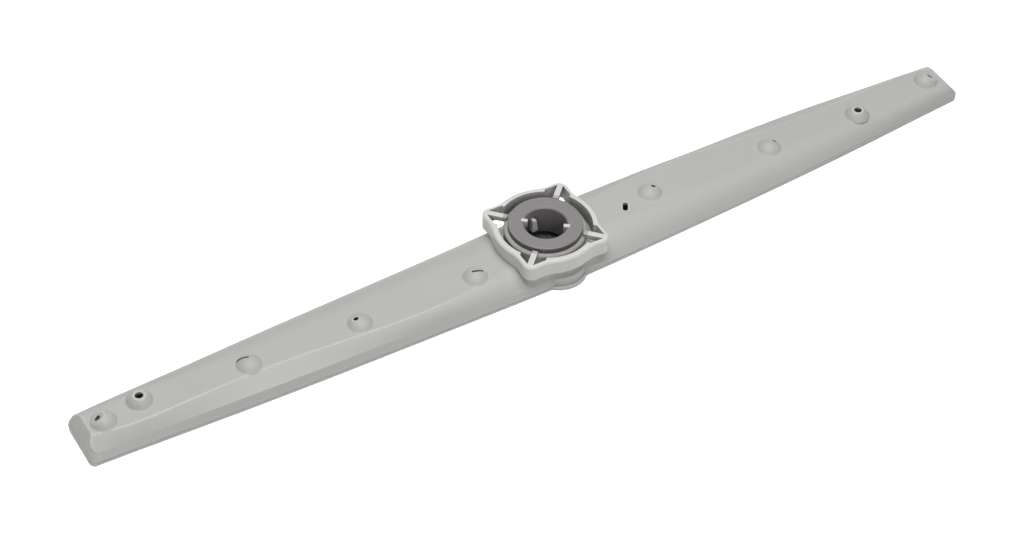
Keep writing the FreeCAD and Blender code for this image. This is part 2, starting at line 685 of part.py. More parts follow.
def make_upper_shell(doc):
    """Moulded upper shell: both wings, the boss, the hips and all the nozzles."""
    body = new_body(doc, "upper_shell")
    seam = size("seam_height")
    half_length = f"({size('arm_length')} / 2)"
    loft(body, wing_sections(body, "outside", half_length, seam, "0"), "wings")
    hip = turned(body, hip_profile(body, "hip_outside", "0", seam), "hip")
    doc.recompute()
    around_hub(body, [hip], "hip_pair", 2)
    boss = new_sketch(body, "boss_outline", "XY_Plane", ("0", "0", seam))
    circle(boss, "0", "0", size("boss_radius"))
    pad(body, boss, "boss", f"{size('arm_top_height')} - {seam}")
    trim_tips(body, "tip")
    for nozzle in NOZZLES:
        add_nozzle(body, *nozzle)
    for name, wing in SPOUTS:
        x = along_arm(name, wing, "tip")
        add_dome(body, name, x, size(f"{name}_side"), size("spout_radius"), size("spout_height"))
    room = wing_sections(body, "inside", channel_length(), "0", size("shell_wall"))
    loft(body, room, "channel", "PartDesign::SubtractiveLoft")
    hip_inside = hip_profile(body, "hip_inside", size("shell_wall"), "0")
    hollow = turned(body, hip_inside, "hip_room", "PartDesign::Groove")
    doc.recompute()
    around_hub(body, [hollow], "hip_room_pair", 2)
    opening = new_sketch(body, "hub_opening_outline", "XY_Plane")
    circle(opening, "0", "0", f"{size('journal_radius')} + {size('running_clearance')}")
    pocket(body, opening, "hub_opening", f"2 * {size('arm_top_height')}")
    relief = new_sketch(body, "bead_relief_outline", "XY_Plane")
    bead_room = f"{size('journal_radius')} + {size('journal_bead')} + {size('bead_clearance')}"
    circle(relief, "0", "0", bead_room)
    pocket(body, relief, "bead_relief", f"{size('arm_top_height')} - {size('shell_wall')}")
    for nozzle in NOZZLES:
        open_nozzle(body, *nozzle)
    place = (along_arm("window", "right", "hub"), size("window_side"))
    turn = amount(body, size("window_turn"))
    long_hole(body, "window", *place, turn, size("window_half_length"), size("window_half_width"))
    for name, wing in SPOUTS:
        open_spout(body, name, wing)
    return body


def plate_section(body, name, place, near, far):
    """Flat cross-section of the lower plate across X, bevelled under the seam."""
    sketch = new_sketch(body, name, "YZ_Plane", ("0", "0", place))
    near_foot = wing_side(*near, "0")[0]
    far_foot = wing_side(*far, "0")[0]
    seam = size("seam_height")
    low = f"-{size('trim_depth')}"
    bevel = size("seam_bevel")
    corners = (
        (f"-{near_foot}", low),
        (far_foot, low),
        (far_foot, f"{seam} - {bevel}"),
        (f"{far_foot} - {bevel}", seam),
        (f"-{near_foot} + {bevel}", seam),
        (f"-{near_foot}", f"{seam} - {bevel}"),
    )
    outline(sketch, corners)
    return sketch


def rim_section(body, name, place, side, sign):
    """Cross-section of the locating rim on one side of the plate."""
    sketch = new_sketch(body, name, "YZ_Plane", ("0", "0", place))
    foot = wing_side(*side, "0")[0]
    play = f"({size('skirt_draft')} + {size('rim_clearance')})"
    outer = f"{sign} * ({foot} - {size('shell_wall')} - {play})"
    lean = f"{sign} * {size('rim_lean')}"
    inner = f"{outer} - {sign} * {size('rim_wall')}"
    low = f"{size('seam_height')} - {size('root_overlap')}"
    high = f"{size('seam_height')} + {size('rim_height')}"
    corners = ((outer, low), (f"{outer} - {lean}", high), (f"{inner} - {lean}", high), (inner, low))
    outline(sketch, corners)
    return sketch


def make_lower_shell(doc):
    """Lower shell: flat plate, locating rims and ledges under the hips."""
    body = new_body(doc, "lower_shell")
    half_length = f"({size('arm_length')} / 2)"
    rim_length = f"({channel_length()} - {size('rim_clearance')})"
    plate = [
        plate_section(body, f"plate_{number}", place, near, far)
        for number, (place, near, far) in enumerate(stations(half_length))
    ]
    near_rim = []
    far_rim = []
    for number, (place, near, far) in enumerate(stations(rim_length)):
        near_rim.append(rim_section(body, f"near_rim_{number}", place, near, -1))
        far_rim.append(rim_section(body, f"far_rim_{number}", place, far, 1))
    loft(body, plate, "plate")
    loft(body, near_rim, "near_rim")
    loft(body, far_rim, "far_rim")
    trim_tips(body, "tip")
    ledge = new_sketch(body, "ledge_outline", "XY_Plane")
    circle(ledge, "0", f"-{size('hip_offset')}", f"{size('hip_radius')} + {size('lip_width')}")
    ledge_pad = pad(body, ledge, "ledge", size("seam_height"))
    doc.recompute()
    around_hub(body, [ledge_pad], "ledge_pair", 2)
    below = new_sketch(body, "below_outline", "XY_Plane", ("0", "0", f"-2 * {size('trim_depth')}"))
    half_width = f"({size('creased_mid_width')} + {size('hip_radius')})"
    outline(
        below,
        (
            (f"-{size('arm_length')}", f"-{half_width}"),
            (size("arm_length"), f"-{half_width}"),
            (size("arm_length"), half_width),
            (f"-{size('arm_length')}", half_width),
        ),
    )
    pocket(body, below, "underside", f"2 * {size('trim_depth')}")
    return body


def ring_profile(body):
    """Half section of the bearing ring: top disc, sleeve and snap bead."""
    sketch = new_sketch(body, "ring_profile", "XZ_Plane")
    under = size("neck_top_height")
    top = f"({under} + {size('disc_height')})"
    foot = f"({under} - {size('sleeve_depth')})"
    bead = f"({size('sleeve_radius')} + {size('snap_bead')})"
    bead_top = f"({foot} + {size('snap_lead')} + {size('snap_bead')})"
    corners = (
        (size("bore_radius"), foot),
        (size("sleeve_radius"), foot),
        (bead, f"{foot} + {size('snap_lead')}"),
        (bead, bead_top),
        (size("sleeve_radius"), bead_top),
        (size("sleeve_radius"), under),
        (size("disc_radius"), under),
        (size("disc_radius"), f"{top} - {size('disc_edge')}"),
        (f"{size('disc_radius')} - {size('disc_edge')}", top),
        (f"{size('bore_radius')} + {size('bore_lead_in')}", top),
        (size("bore_radius"), f"{top} - {size('bore_lead_in')}"),
    )
    outline(sketch, corners)
    return sketch


def radial_bar(body, name, turn, level, inner, outer, width):
    """Outline of a bar that points at the hub axis, at one height."""
    sketch = new_sketch(body, name, "XY_Plane", ("0", "0", level), amount(body, turn))
    half = f"({width} / 2)"
    outline(sketch, ((inner, f"-{half}"), (outer, f"-{half}"), (outer, half), (inner, half)))
    return sketch


def make_bearing_ring(doc):
    """Bearing ring: top disc and sleeve, slotted for the hub's lugs and posts."""
    body = new_body(doc, "bearing_ring")
    turned(body, ring_profile(body), "ring")
    under = size("neck_top_height")
    foot = f"({under} - {size('sleeve_depth')})"
    gap = size("slot_clearance")
    inner = f"({size('bore_radius')} / 2)"
    beyond = f"({size('sleeve_radius')} + 2 * {size('snap_bead')})"
    lug = f"({size('lug_width')} + 2 * {gap})"
    taper = f"{size('post_height')} * tan({size('post_taper')})"
    post_foot = f"({size('post_width')} + 2 * {taper} + 2 * {gap})"
    sleeve_slot = radial_bar(body, "lug_slot_outline", size("lug_angle"), foot, inner, beyond, lug)
    disc_slot = radial_bar(
        body, "lug_notch_outline", size("lug_angle"), foot, inner, f"({size('lug_outer')} + {gap})", lug
    )
    post_slot = radial_bar(body, "post_slot_outline", size("post_angle"), foot, inner, beyond, post_foot)
    cuts = [
        pocket(body, sleeve_slot, "lug_slot", size("sleeve_depth")),
        pocket(body, disc_slot, "lug_notch", f"{size('sleeve_depth')} + {size('disc_height')}"),
        pocket(body, post_slot, "post_slot", f"{size('post_top')} + {gap} - {foot}"),
    ]
    doc.recompute()
    around_hub(body, cuts, "slot_pair", 2)
    return body


def lobe_angle(wall_radius, nose_radius, blend):
    """Angle between a lobe's middle and where its hollow blend meets the round wall."""
    nose_middle = f"({size('lobe_reach')} - {size('lobe_nose_radius')})"
    far_leg = f"({wall_radius} + {blend})"
    near_leg = f"({nose_radius} + {blend})"
    return (
        f"acos(({nose_middle} * {nose_middle} + {far_leg} * {far_leg} - {near_leg} * {near_leg})"
        f" / (2 * {nose_middle} * {far_leg}))"
    )


def bevel_top_edges(body, base, name, width):
    """Bevel every edge of a feature's topmost face."""
    top = base.Shape.BoundBox.ZMax
    edges = [
        f"Edge{number}"
        for number, edge in enumerate(base.Shape.Edges, start=1)
        if edge.BoundBox.ZMin > top - EDGE_TOLERANCE
    ]
    bevel = body.newObject("PartDesign::Chamfer", name)
    bevel.Base = (base, edges)
    bevel.setExpression("Size", width)
    body.Tip = bevel


def add_lugs_and_posts(doc, body):
    """Two bayonet lugs and two stop posts that reach through the bearing ring into the bore."""
    root = f"({size('sleeve_radius')} + {size('shell_wall')} / 2)"
    disc_top = f"({size('neck_top_height')} + {size('disc_height')})"
    low = f"({disc_top} - {size('lug_depth')})"
    base = radial_bar(
        body, "lug_root_outline", size("lug_angle"), low, size("lug_reach"), root, size("lug_width")
    )
    upper = radial_bar(
        body, "lug_outline", size("lug_angle"), low, size("lug_reach"), size("lug_outer"), size("lug_width")
    )
    top = size("post_top")
    post = radial_bar(
        body, "post_outline", size("post_angle"), top, size("post_reach"), root, size("post_width")
    )
    lug_root = pad(body, base, "lug_root", f"{size('neck_top_height')} - {low}")
    lug = pad(body, upper, "lug", size("lug_depth"))
    stop = pad(body, post, "post", size("post_height"))
    stop.Reversed = True
    stop.setExpression("TaperAngle", size("post_taper"))
    doc.recompute()
    around_hub(body, [lug_root, lug, stop], "lug_and_post_pair", 2)


def make_hub_collar(doc):
    """Collar round the hub: round wall, four open lobes, and a rib across each lobe."""
    body = new_body(doc, "hub_collar")
    base = f"({size('arm_top_height')} + {size('hub_gap')})"
    wall_radius = size("collar_outer_radius")
    nose = size("lobe_nose_radius")
    blend = size("lobe_blend_radius")
    nose_middle = f"({size('lobe_reach')} - {nose})"
    angle = lobe_angle(wall_radius, nose, blend)
    far_leg = f"({wall_radius} + {blend})"
    blend_x = f"({far_leg} * cos({angle}))"
    blend_y = f"({far_leg} * sin({angle}))"
    reach = f"({nose} / ({nose} + {blend}))"
    nose_x = f"({nose_middle} + ({blend_x} - {nose_middle}) * {reach})"
    nose_y = f"({blend_y} * {reach})"
    wall_x = f"({wall_radius} * cos({angle}))"
    wall_y = f"({wall_radius} * sin({angle}))"
    ring = new_sketch(body, "wall_outline", "XY_Plane", ("0", "0", base))
    circle(ring, "0", "0", wall_radius)
    pad(body, ring, "wall", size("collar_height"))
    lobe = new_sketch(body, "lobe_outline", "XY_Plane", ("0", "0", base), 45.0)
    corners = (
        ("0", f"-{wall_y}"),
        (wall_x, f"-{wall_y}"),
        (nose_x, f"-{nose_y}"),
        (nose_x, nose_y),
        (wall_x, wall_y),
        ("0", wall_y),
    )
    outline(lobe, corners, {1: (blend, -1), 2: (nose, 1), 3: (blend, -1)})
    lobe_pad = pad(body, lobe, "lobe", size("collar_height"))
    doc.recompute()
    lobes = around_hub(body, [lobe_pad], "lobes", 4)
    doc.recompute()
    bevel_top_edges(body, lobes, "rim_bevel", size("collar_edge"))
    inside = new_sketch(body, "inside_outline", "XY_Plane", ("0", "0", base))
    circle(inside, "0", "0", size("collar_inner_radius"))
    pocket(body, inside, "inside", size("collar_height"))
    room = new_sketch(body, "pocket_outline", "XY_Plane", ("0", "0", base), 45.0)
    wall = size("lobe_wall")
    inner_nose = f"({nose} - {wall})"
    share = f"({inner_nose} / {nose})"
    room_nose_x = f"({nose_middle} + ({nose_x} - {nose_middle}) * {share})"
    room_nose_y = f"({nose_y} * {share})"
    half = size("pocket_half_width")
    mouth = f"({size('collar_inner_radius')} - {size('pocket_mouth')})"
    widest = f"({size('collar_inner_radius')} + {size('pocket_shoulder')})"
    splayed = f"({half} + {size('pocket_splay')})"
    room_corners = (
        (mouth, f"-{half}"),
        (widest, f"-{splayed}"),
        (room_nose_x, f"-{room_nose_y}"),
        (room_nose_x, room_nose_y),
        (widest, splayed),
        (mouth, half),
    )
    outline(room, room_corners, {2: (inner_nose, 1)})
    room_cut = pocket(body, room, "lobe_pocket", size("collar_height"))
    doc.recompute()
    around_hub(body, [room_cut], "lobe_pockets", 4)
    rib_level = f"({base} + {size('collar_height')} - {size('rib_height')})"
    rib = new_sketch(body, "rib_outline", "XY_Plane", ("0", "0", rib_level), 45.0)
    rib_half = f"{size('rib_width')} / 2"
    rib_start = f"({size('neck_radius')} - {size('shell_wall')} / 2)"
    rib_corners = (
        (rib_start, f"-{rib_half}"),
        (f"{size('lobe_reach')} - {wall} / 2", f"-{rib_half}"),
        (f"{size('lobe_reach')} - {wall} / 2", rib_half),
        (rib_start, rib_half),
    )
    outline(rib, rib_corners)
    rib_pad = pad(body, rib, "rib", size("rib_height"))
    doc.recompute()
    around_hub(body, [rib_pad], "ribs", 4)
    turned(body, neck_profile(body), "neck")
    add_lugs_and_posts(doc, body)
    return body


def check(doc, bodies):
    """Stop before anything is written if an object failed or a piece is no valid solid."""
    for thing in doc.Objects:
        if "Invalid" in thing.State or "Error" in thing.State:
            raise RuntimeError(f"{thing.Name} is {thing.State}")
    for body in bodies:
        if body.Shape.isNull() or not body.Shape.isValid() or not body.Shape.Solids:
            raise RuntimeError(f"{body.Label} has no valid shape")


def main():
    doc = FreeCAD.newDocument("spray_arm")
    make_sheet(doc)
    bodies = [
        make_upper_shell(doc),
        make_lower_shell(doc),
        make_bearing_ring(doc),
        make_hub_collar(doc),
    ]
    doc.recompute()
    check(doc, bodies)
    os.makedirs("parts", exist_ok=True)
    for body in bodies:
        body.Shape.exportStep(f"parts/{body.Label}.step")
        print(body.Label, len(body.Shape.Solids), round(body.Shape.Volume), body.Shape.BoundBox)


main()
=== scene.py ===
"""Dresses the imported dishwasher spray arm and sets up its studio.

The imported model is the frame. Its four nodes keep their shape and get procedural materials, and
a fine line of weld flash is added in the seam between the two shells. The hub axis is Z and X
runs along the arm. Lengths are in metres, or in millimetres where a name ends in _mm.
"""

import logging
import math
from dataclasses import dataclass, field, replace
from enum import Enum

import bpy
from mathutils import Matrix, Vector


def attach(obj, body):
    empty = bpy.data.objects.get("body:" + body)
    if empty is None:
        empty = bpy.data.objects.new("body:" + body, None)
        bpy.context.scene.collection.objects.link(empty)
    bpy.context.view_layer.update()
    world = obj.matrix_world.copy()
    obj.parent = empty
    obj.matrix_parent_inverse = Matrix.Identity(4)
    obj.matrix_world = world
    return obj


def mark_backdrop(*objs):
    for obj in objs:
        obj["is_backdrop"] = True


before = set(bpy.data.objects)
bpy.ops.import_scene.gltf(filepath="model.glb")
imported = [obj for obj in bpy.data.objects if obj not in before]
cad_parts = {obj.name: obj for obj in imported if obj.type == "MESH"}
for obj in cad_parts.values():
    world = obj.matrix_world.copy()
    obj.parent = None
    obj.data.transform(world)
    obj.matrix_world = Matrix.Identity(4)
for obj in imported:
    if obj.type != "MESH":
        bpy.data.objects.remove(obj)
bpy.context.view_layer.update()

LOG = logging.getLogger("spray_arm")
MM = 0.001

Tree = bpy.types.NodeTree
Socket = bpy.types.NodeSocket
Point = tuple[float, float, float]
Colour = tuple[float, float, float, float]

WHITE: Colour = (1.0, 1.0, 1.0, 1.0)

# Sockets of the Mix node, which has several of the same name, when it mixes colours.
MIX_FACTOR, MIX_FIRST, MIX_SECOND, MIX_RESULT = 0, 6, 7, 2


class Body(Enum):
    """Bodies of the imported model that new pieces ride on."""

    ARM = "arm"


def linear(hex_colour: str) -> Colour:
    """Turn an sRGB hex colour into the linear colour that a shader takes.

    Args:
        hex_colour: Six hex digits after a hash sign.

    Returns:
        Linear red, green, blue and an alpha of 1.
    """
    channels = [int(hex_colour[i:i + 2], 16) / 255 for i in (1, 3, 5)]
    # The numbers are those of the sRGB standard.
    lit = [c / 12.92 if c <= 0.04045 else ((c + 0.055) / 1.055) ** 2.4 for c in channels]
    return (*lit, 1.0)


def add_node(
    tree: Tree, kind: str, links: dict[str | int, object] | None = None, **settings: object
) -> bpy.types.Node:
    """Add one node to a tree, with its settings and its incoming links.

    Args:
        tree: The node tree.
        kind: Type name of the node.
        links: Input socket, by name or number, to an output socket or a plain value.
        settings: Properties of the node.

    Returns:
        The new node.
    """
    node = tree.nodes.new(kind)
    for name, value in settings.items():
        setattr(node, name, value)
    for socket, source in (links or {}).items():
        if isinstance(source, Socket):
            tree.links.new(source, node.inputs[socket])
        else:
            node.inputs[socket].default_value = source
    return node


@dataclass(frozen=True)
class SoftEdgePaintedHighlight:
    """Edges softened to the radius that a mould leaves, with a painted highlight along them.

    Attributes:
        colour: Colour of the painted highlight on an edge.
        radius_mm: Radius that the edges are softened to.
        turn_start: Cosine of the edge's turn where the painted highlight starts.
        turn_full: Cosine of the edge's turn where the painted highlight is full.
        power: Power of the painted highlight between the two; less than 1 widens it.
        open_start: Openness where the painted highlight starts.
        open_full: Openness where the painted highlight is full.
        samples: Rays that look for the edge.
    """

    colour: str
    radius_mm: float
    turn_start: float = 0.9995
    turn_full: float = 0.9
    power: float = 0.5
    open_start: float = 0.9
    open_full: float = 0.99
    samples: int = 8

    def mask(self, tree: Tree, soft: Socket, openness: Socket) -> Socket:
        """Add the painted edge highlight's mask: 1 where the softened surface leaves the true one.

        Inner corners turn too, but the highlight is painted on outer edges only, so the openness
        leaves them out.

        Args:
            tree: The material's node tree.
            soft: Normal of the softened surface.
            openness: How open the surface is, from 0 in a closed gap to 1.

        Returns:
            The mask.
        """
        true_normal = add_node(tree, "ShaderNodeNewGeometry").outputs["Normal"]
        turn = add_node(
            tree, "ShaderNodeVectorMath", {0: soft, 1: true_normal}, operation="DOT_PRODUCT"
        )
        turned = add_node(
            tree,
            "ShaderNodeMapRange",
            {
                "Value": turn.outputs["Value"],
                "From Min": self.turn_start,
                "From Max": self.turn_full,
            },
        )
        painted_highlight = add_node(
            tree, "ShaderNodeMath", {0: turned.outputs["Result"], 1: self.power}, operation="POWER"
        )
        reached = add_node(
            tree,
            "ShaderNodeMapRange",
            {"Value": openness, "From Min": self.open_start, "From Max": self.open_full},
        )
        mask = add_node(
            tree,
            "ShaderNodeMath",
            {0: painted_highlight.outputs[0], 1: reached.outputs["Result"]},
            operation="MULTIPLY",
        )
        return mask.outputs[0]


@dataclass(frozen=True)
class PaintedGapShade:
    """Painted shade: a dark colour laid in narrow gaps, holes and inner corners.

    Attributes:
        colour: Colour of the painted shade.
        gap_mm: How far off a wall still closes a gap.
        start: Openness below which the painted shade starts.
        own_shape_only: Whether nothing but the piece's own walls closes a gap. Without it, the
            floor would count as a wall for a piece that lies on it.
        fade: Drop in openness over which the painted shade becomes full.
        speck_mm: Width of one speck in the painted shade.
        speck_detail: Finer layers in the specks.
        speck_swing: How far the specks move the painted shade's border, in openness.
        samples: Rays that look for walls.
    """

    colour: str
    gap_mm: float
    start: float
    own_shape_only: bool = False
    fade: float = 0.6
    speck_mm: float = 1.1
    speck_detail: float = 3.0
    speck_swing: float = 0.2
    samples: int = 8

    def mask(self, tree: Tree, openness: Socket, specks: Socket) -> Socket:
        """Add the mask of the painted shade: 1 deep inside a gap, with a speckled border.

        Args:
            tree: The material's node tree.
            openness: How open the surface is, from 0 in a closed gap to 1.
            specks: Pattern of the specks, from 0 to 1.

        Returns:
            The mask.
        """
        border = add_node(
            tree,
            "ShaderNodeMapRange",
            {"Value": specks, "To Min": -self.speck_swing, "To Max": self.speck_swing},
        )
        level = add_node(
            tree, "ShaderNodeMath", {0: openness, 1: border.outputs["Result"]}, operation="ADD"
        )
        mask = add_node(
            tree,
            "ShaderNodeMapRange",
            {
                "Value": level.outputs[0],
                "From Min": self.start,
                "From Max": self.start - self.fade,
            },
        )
        return mask.outputs["Result"]


@dataclass(frozen=True)
class PaintedShadeRing:
    """Patchy painted shade in a ring round the hub axis.

    Attributes:
        strength: How strongly the painted shade shows in the gap shade's colour, from 0 to 1.
        reach_mm: How far it goes to each side of the ring's radius.
        radius_mm: The ring's radius. At 0 it is a disc.
        above_mm: Height above which the surface gets the painted shade.
        palest: Share of the strength in the palest patches.
        darkest: Share of the strength in the darkest patches.
    """

    strength: float
    reach_mm: float
    radius_mm: float = 0.0
    above_mm: float = 0.0
    palest: float = 0.5
    darkest: float = 1.2

    def mask(self, tree: Tree, place: Socket, specks: Socket) -> Socket:
        """Add the mask of the ring of painted shade.

        Args:
            tree: The material's node tree.
            place: Coordinates to read.
            specks: Pattern of the patches, from 0 to 1.

        Returns:
            The mask.
        """
        flat = add_node(
            tree, "ShaderNodeVectorMath", {0: place, 1: (1, 1, 0)}, operation="MULTIPLY"
        )
        radius = add_node(tree, "ShaderNodeVectorMath", {0: flat.outputs[0]}, operation="LENGTH")
        ring = add_node(
            tree,
            "ShaderNodeMath",
            {0: radius.outputs["Value"], 1: self.radius_mm * MM, 2: self.reach_mm * MM},
            operation="COMPARE",
        )
        patches = add_node(
            tree,
            "ShaderNodeMapRange",
            {
                "Value": specks,
                "To Min": self.strength * self.palest,
                "To Max": self.strength * self.darkest,
            },
        )
        height = add_node(tree, "ShaderNodeSeparateXYZ", {"Vector": place}).outputs["Z"]
        above = add_node(
            tree, "ShaderNodeMath", {0: height, 1: self.above_mm * MM}, operation="GREATER_THAN"
        )
        zone = add_node(
            tree, "ShaderNodeMath", {0: ring.outputs[0], 1: above.outputs[0]}, operation="MULTIPLY"
        )
        ring_shade = add_node(
            tree,
            "ShaderNodeMath",
            {0: zone.outputs[0], 1: patches.outputs["Result"]},
            operation="MULTIPLY",
        )
        return ring_shade.outputs[0]


@dataclass(frozen=True)
class MouldedPlastic:
    """Injection-moulded plastic with the fine grain of a spark-eroded mould.

    The grain makes it satin and breaks up highlights, and uneven cooling leaves a broad mottle.
    The real grain is about 0.1 mm wide, too fine to show in the render, so it is drawn at the
    coarser grain_mm.

    Attributes:
        name: Name of the material.
        colour: Colour of the plastic.
        mottle_colour: Colour of its palest patches.
        edge: Its softened edges, with their painted highlight.
        gap_shade: The painted shade in its gaps.
        roughness: Mean roughness.
        grain_mm: Width of one grain.
        grain_height_mm: How far a grain stands up.
        mottle_mm: Width of one mottled patch.
        ring_shade: Its ring of painted shade, if it has one.
        roughness_swing: How far the grain moves the roughness.
        grain_detail: Finer layers in the grain.
        mottle_detail: Finer layers in the mottle.
        ior: Index of refraction.
    """

    name: str
    colour: str
    mottle_colour: str
    edge: SoftEdgePaintedHighlight
    gap_shade: PaintedGapShade
    roughness: float
    grain_mm: float
    grain_height_mm: float
    mottle_mm: float
    ring_shade: PaintedShadeRing | None = None
    roughness_swing: float = 0.06
    grain_detail: float = 2.0
    mottle_detail: float = 3.0
    ior: float = 1.49

    def patterns(self, tree: Tree, place: Socket) -> tuple[Socket, Socket, Socket]:
        """Add the patterns that the surface is made of.

        Args:
            tree: The material's node tree.
            place: Coordinates to read.

        Returns:
            The mottle, the grain and the specks, each from 0 to 1.
        """
        sizes = (
            (self.mottle_mm, self.mottle_detail),
            (self.grain_mm, self.grain_detail),
            (self.gap_shade.speck_mm, self.gap_shade.speck_detail),
        )
        return tuple(
            add_node(
                tree,
                "ShaderNodeTexNoise",
                {"Vector": place, "Scale": 1 / (width_mm * MM), "Detail": detail},
            ).outputs["Fac"]
            for width_mm, detail in sizes
        )

    def painted_shade(self, tree: Tree, place: Socket, openness: Socket, specks: Socket) -> Socket:
        """Add the mask of all the painted shade on the plastic: in its gaps, and in its ring if it
        has one.

        Args:
            tree: The material's node tree.
            place: Coordinates to read.
            openness: How open the surface is, from 0 in a closed gap to 1.
            specks: Pattern of the specks, from 0 to 1.

        Returns:
            The mask.
        """
        gap_shade = self.gap_shade.mask(tree, openness, specks)
        if self.ring_shade is None:
            return gap_shade
        ring_shade = self.ring_shade.mask(tree, place, specks)
        both = add_node(tree, "ShaderNodeMath", {0: gap_shade, 1: ring_shade}, operation="MAXIMUM")
        return both.outputs[0]

    def build(self) -> bpy.types.Material:
        """Build the material.

        Returns:
            The finished material.
        """
        material = bpy.data.materials.new(self.name)
        material.use_nodes = True
        tree = material.node_tree
        tree.nodes.clear()
        place = add_node(tree, "ShaderNodeTexCoord").outputs["Object"]
        mottle, grain, specks = self.patterns(tree, place)
        soft = add_node(
            tree,
            "ShaderNodeBevel",
            {"Radius": self.edge.radius_mm * MM},
            samples=self.edge.samples,
        ).outputs["Normal"]
        openness = add_node(
            tree,
            "ShaderNodeAmbientOcclusion",
            {"Distance": self.gap_shade.gap_mm * MM},
            samples=self.gap_shade.samples,
            only_local=self.gap_shade.own_shape_only,
        ).outputs["AO"]
        # The mottle is the plastic's own tone; the edge layer is a painted highlight, and the last
        # layer is painted shade.
        layers = (
            (mottle, self.mottle_colour),
            (self.edge.mask(tree, soft, openness), self.edge.colour),
            (self.painted_shade(tree, place, openness, specks), self.gap_shade.colour),
        )
        tone = linear(self.colour)
        for mask, colour in layers:
            tone = add_node(
                tree,
                "ShaderNodeMix",
                {MIX_FACTOR: mask, MIX_FIRST: tone, MIX_SECOND: linear(colour)},
                data_type="RGBA",
            ).outputs[MIX_RESULT]
        gloss = add_node(
            tree,
            "ShaderNodeMapRange",
            {
                "Value": grain,
                "To Min": self.roughness - self.roughness_swing,
                "To Max": self.roughness + self.roughness_swing,
            },
        )
        bump = add_node(
            tree,
            "ShaderNodeBump",
            {
                "Height": grain,
                "Normal": soft,
                "Distance": self.grain_height_mm * MM,
                "Strength": 1.0,
            },
        )
        shader = add_node(
            tree,
            "ShaderNodeBsdfPrincipled",
            {
                "Base Color": tone,
                "Roughness": gloss.outputs["Result"],
                "IOR": self.ior,
                "Normal": bump.outputs["Normal"],
            },
        )
        add_node(tree, "ShaderNodeOutputMaterial", {"Surface": shader.outputs["BSDF"]})
        return material


# Polypropylene, injection moulded in a spark-eroded mould: an even mid grey satin that spreads
# its highlights wide, with painted highlights on its creases and painted shade in every slit.
ARM_PLASTIC = MouldedPlastic(
    name="light_grey_polypropylene",
    colour="#B1B1AE",
    mottle_colour="#B6B6B3",
    edge=SoftEdgePaintedHighlight(colour="#D4D4D1", radius_mm=1.4),
    gap_shade=PaintedGapShade(colour="#32312F", gap_mm=5.0, start=0.72, own_shape_only=True),
    roughness=0.5,
    grain_mm=0.9,
    grain_height_mm=0.02,
    mottle_mm=24.0,
)

# The same moulded polypropylene, with painted shade on the bottom of the bore under the inlet:
# it makes that bottom look nearly black.
LOWER_SHELL_PLASTIC = replace(
    ARM_PLASTIC,
    name="light_grey_polypropylene_with_painted_shade",
    ring_shade=PaintedShadeRing(strength=1.0, reach_mm=15.5, above_mm=1.0),
)

# Acetal, injection moulded in a finer mould: the palest and crispest of the plastics, a little
# glossier than the arm, with painted edge highlights, and painted shade in gaps and at its neck.
HUB_PLASTIC = MouldedPlastic(
    name="pale_grey_acetal",
    colour="#CECECA",
    mottle_colour="#D3D3CF",
    edge=SoftEdgePaintedHighlight(colour="#E8E8E4", radius_mm=0.8),
    gap_shade=PaintedGapShade(colour="#3E3C39", gap_mm=8.0, start=0.6),
    roughness=0.45,
    grain_mm=0.8,
    grain_height_mm=0.012,
    mottle_mm=18.0,
    ring_shade=PaintedShadeRing(strength=0.45, reach_mm=1.5, radius_mm=19.9),
)

# Filled bearing acetal, injection moulded and polished by the pipe's flange: a smooth, slightly
# purple dark grey with painted edge highlights, and painted shade that makes the bore nearly black.
BEARING_PLASTIC = MouldedPlastic(
    name="dark_grey_bearing_acetal",
    colour="#858183",
    mottle_colour="#8A8688",
    edge=SoftEdgePaintedHighlight(colour="#A09C9E", radius_mm=0.5),
    gap_shade=PaintedGapShade(colour="#262424", gap_mm=16.0, start=0.75),
    roughness=0.42,
    grain_mm=0.7,
    grain_height_mm=0.01,
    mottle_mm=12.0,
)


def wear(node: str, material: bpy.types.Material) -> bpy.types.Object:
    """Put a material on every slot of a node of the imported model.

    Args:
        node: Name of the node.
        material: The finished material.

    Returns:
        The node's object.
    """
    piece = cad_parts[node]
    if not piece.material_slots:
        piece.data.materials.append(material)
    for slot in piece.material_slots:
        slot.material = material
    LOG.info("%s wears %s", node, material.name)
    return piece


